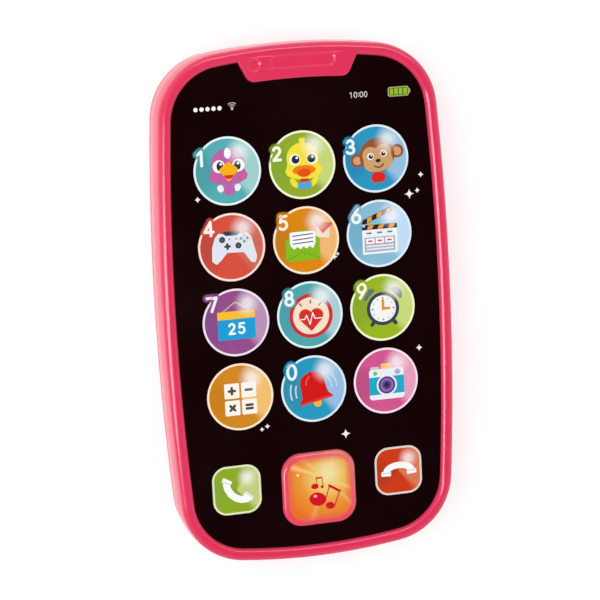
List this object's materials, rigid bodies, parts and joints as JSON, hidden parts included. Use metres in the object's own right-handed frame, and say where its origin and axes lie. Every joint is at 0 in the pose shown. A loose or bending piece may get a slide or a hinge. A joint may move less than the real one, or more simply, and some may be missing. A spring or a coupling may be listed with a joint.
{
  "type": "toy cell phone",
  "caption": "Child's toy phone: bowed crimson shell, glossy black screen, round picture keys, call keys, raised music button, battery door and slide switch.",
  "frame": {"origin": "middle of the footprint on the back face, which it lies on", "axes": "+Z out of the screen, +Y to the top of the phone, +X to the right of the screen"},
  "size_m": [0.0838, 0.146, 0.0215],
  "materials": {
    "crimson_shell": "glossy injection moulded ABS",
    "crimson_rear_shell": "glossy injection moulded ABS",
    "screen_black": "gloss black printed sheet",
    "key_1_print": "printed, gloss",
    "key_2_print": "printed, gloss",
    "key_3_print": "printed, gloss",
    "key_4_print": "printed, gloss",
    "key_5_print": "printed, gloss",
    "key_6_print": "printed, gloss",
    "key_7_print": "printed, gloss",
    "key_8_print": "printed, gloss",
    "key_9_print": "printed, gloss",
    "key_0_print": "printed, gloss",
    "key_calculator_print": "printed, gloss",
    "key_camera_print": "printed, gloss",
    "key_answer_print": "printed, gloss",
    "key_hang_up_print": "printed, gloss",
    "clear_pink": "clear tinted",
    "music_print": "printed",
    "white_plastic": "satin",
    "grey_rubber": "matte",
    "carbon": "matte",
    "board_green": "solder mask",
    "small_screw_steel": "zinc plated",
    "chip_black": "epoxy",
    "led_white": "clear",
    "resistor_black": "matte",
    "capacitor_sleeve": "sleeved",
    "speaker_steel": "zinc plated",
    "magnet_grey": "ferrite",
    "cone_black": "matte",
    "ring_black": "satin",
    "speaker_screw_steel": "zinc plated",
    "wire_blue": "PVC",
    "wire_red": "PVC",
    "wire_black": "PVC",
    "cell_silver": "wrapped",
    "cell_silver_2": "wrapped",
    "spring_steel": "nickel plated",
    "contact_steel": "nickel plated",
    "bridge_steel": "nickel plated",
    "crimson_door": "glossy injection moulded ABS",
    "door_screw_steel": "zinc plated",
    "housing_screw_steel": "zinc plated",
    "switch_black": "satin",
    "knob_white": "satin"
  },
  "bodies": {
    "phone": {"front_housing": "crimson_shell", "rear_housing": "crimson_rear_shell", "screen_film": "screen_black", "light_reflector": "white_plastic", "rubber_keypad": "grey_rubber", "contact_pills": "carbon", "circuit_board": "board_green", "board_screws": "small_screw_steel", "sound_chip": "chip_black", "leds": "led_white", "resistors": "resistor_black", "capacitor": "capacitor_sleeve", "speaker_frame": "speaker_steel", "speaker_magnet": "magnet_grey", "speaker_cone": "cone_black", "speaker_ring": "ring_black", "speaker_screws": "speaker_screw_steel", "speaker_wires": "wire_blue", "battery_wires": "wire_red", "switch_wires": "wire_black", "battery_1": "cell_silver", "battery_2": "cell_silver_2", "battery_springs": "spring_steel", "battery_contacts": "contact_steel", "battery_bridge": "bridge_steel", "housing_screws": "housing_screw_steel", "switch_body": "switch_black"},
    "key_1": {"key_1": "key_1_print"},
    "key_2": {"key_2": "key_2_print"},
    "key_3": {"key_3": "key_3_print"},
    "key_4": {"key_4": "key_4_print"},
    "key_5": {"key_5": "key_5_print"},
    "key_6": {"key_6": "key_6_print"},
    "key_7": {"key_7": "key_7_print"},
    "key_8": {"key_8": "key_8_print"},
    "key_9": {"key_9": "key_9_print"},
    "key_0": {"key_0": "key_0_print"},
    "key_calculator": {"key_calculator": "key_calculator_print"},
    "key_camera": {"key_camera": "key_camera_print"},
    "key_answer": {"key_answer": "key_answer_print"},
    "key_hang_up": {"key_hang_up": "key_hang_up_print"},
    "music_button": {"music_button": "clear_pink", "music_label": "music_print"},
    "switch_knob": {"switch_knob": "knob_white"},
    "battery_door": {"battery_door": "crimson_door", "battery_door_screw": "door_screw_steel"}
  },
  "joints": [
    {"name": "key_1_press", "type": "slide", "parent": "phone", "child": "key_1", "axis": [0, 0, -1], "range_m": [0, 0.0007], "stiffness_N_per_m": 400, "springref_m": -0.0006, "deforming": ["rubber_keypad"]},
    {"name": "key_2_press", "type": "slide", "parent": "phone", "child": "key_2", "axis": [0, 0, -1], "range_m": [0, 0.0007], "stiffness_N_per_m": 400, "springref_m": -0.0006, "deforming": ["rubber_keypad"]},
    {"name": "key_3_press", "type": "slide", "parent": "phone", "child": "key_3", "axis": [0, 0, -1], "range_m": [0, 0.0007], "stiffness_N_per_m": 400, "springref_m": -0.0006, "deforming": ["rubber_keypad"]},
    {"name": "key_4_press", "type": "slide", "parent": "phone", "child": "key_4", "axis": [0, 0, -1], "range_m": [0, 0.0007], "stiffness_N_per_m": 400, "springref_m": -0.0006, "deforming": ["rubber_keypad"]},
    {"name": "key_5_press", "type": "slide", "parent": "phone", "child": "key_5", "axis": [0, 0, -1], "range_m": [0, 0.0007], "stiffness_N_per_m": 400, "springref_m": -0.0006, "deforming": ["rubber_keypad"]},
    {"name": "key_6_press", "type": "slide", "parent": "phone", "child": "key_6", "axis": [0, 0, -1], "range_m": [0, 0.0007], "stiffness_N_per_m": 400, "springref_m": -0.0006, "deforming": ["rubber_keypad"]},
    {"name": "key_7_press", "type": "slide", "parent": "phone", "child": "key_7", "axis": [0, 0, -1], "range_m": [0, 0.0007], "stiffness_N_per_m": 400, "springref_m": -0.0006, "deforming": ["rubber_keypad"]},
    {"name": "key_8_press", "type": "slide", "parent": "phone", "child": "key_8", "axis": [0, 0, -1], "range_m": [0, 0.0007], "stiffness_N_per_m": 400, "springref_m": -0.0006, "deforming": ["rubber_keypad"]},
    {"name": "key_9_press", "type": "slide", "parent": "phone", "child": "key_9", "axis": [0, 0, -1], "range_m": [0, 0.0007], "stiffness_N_per_m": 400, "springref_m": -0.0006, "deforming": ["rubber_keypad"]},
    {"name": "key_0_press", "type": "slide", "parent": "phone", "child": "key_0", "axis": [0, 0, -1], "range_m": [0, 0.0007], "stiffness_N_per_m": 400, "springref_m": -0.0006, "deforming": ["rubber_keypad"]},
    {"name": "key_calculator_press", "type": "slide", "parent": "phone", "child": "key_calculator", "axis": [0, 0, -1], "range_m": [0, 0.0007], "stiffness_N_per_m": 400, "springref_m": -0.0006, "deforming": ["rubber_keypad"]},
    {"name": "key_camera_press", "type": "slide", "parent": "phone", "child": "key_camera", "axis": [0, 0, -1], "range_m": [0, 0.0007], "stiffness_N_per_m": 400, "springref_m": -0.0006, "deforming": ["rubber_keypad"]},
    {"name": "key_answer_press", "type": "slide", "parent": "phone", "child": "key_answer", "axis": [0, 0, -1], "range_m": [0, 0.0007], "stiffness_N_per_m": 400, "springref_m": -0.0006, "deforming": ["rubber_keypad"]},
    {"name": "key_hang_up_press", "type": "slide", "parent": "phone", "child": "key_hang_up", "axis": [0, 0, -1], "range_m": [0, 0.0007], "stiffness_N_per_m": 400, "springref_m": -0.0006, "deforming": ["rubber_keypad"]},
    {"name": "music_button_press", "type": "slide", "parent": "phone", "child": "music_button", "axis": [0, 0, -1], "range_m": [0, 0.0007], "stiffness_N_per_m": 500, "springref_m": -0.0006, "deforming": ["rubber_keypad"]},
    {"name": "switch_slide", "type": "slide", "parent": "phone", "child": "switch_knob", "axis": [1, 0, 0], "range_m": [0, 0.004]},
    {"name": "battery_door_hinge", "type": "hinge", "parent": "phone", "child": "battery_door", "pos_m": [0, 0.01765, 0], "axis": [1, 0, 0], "range_deg": [0, 60]}
  ]
}
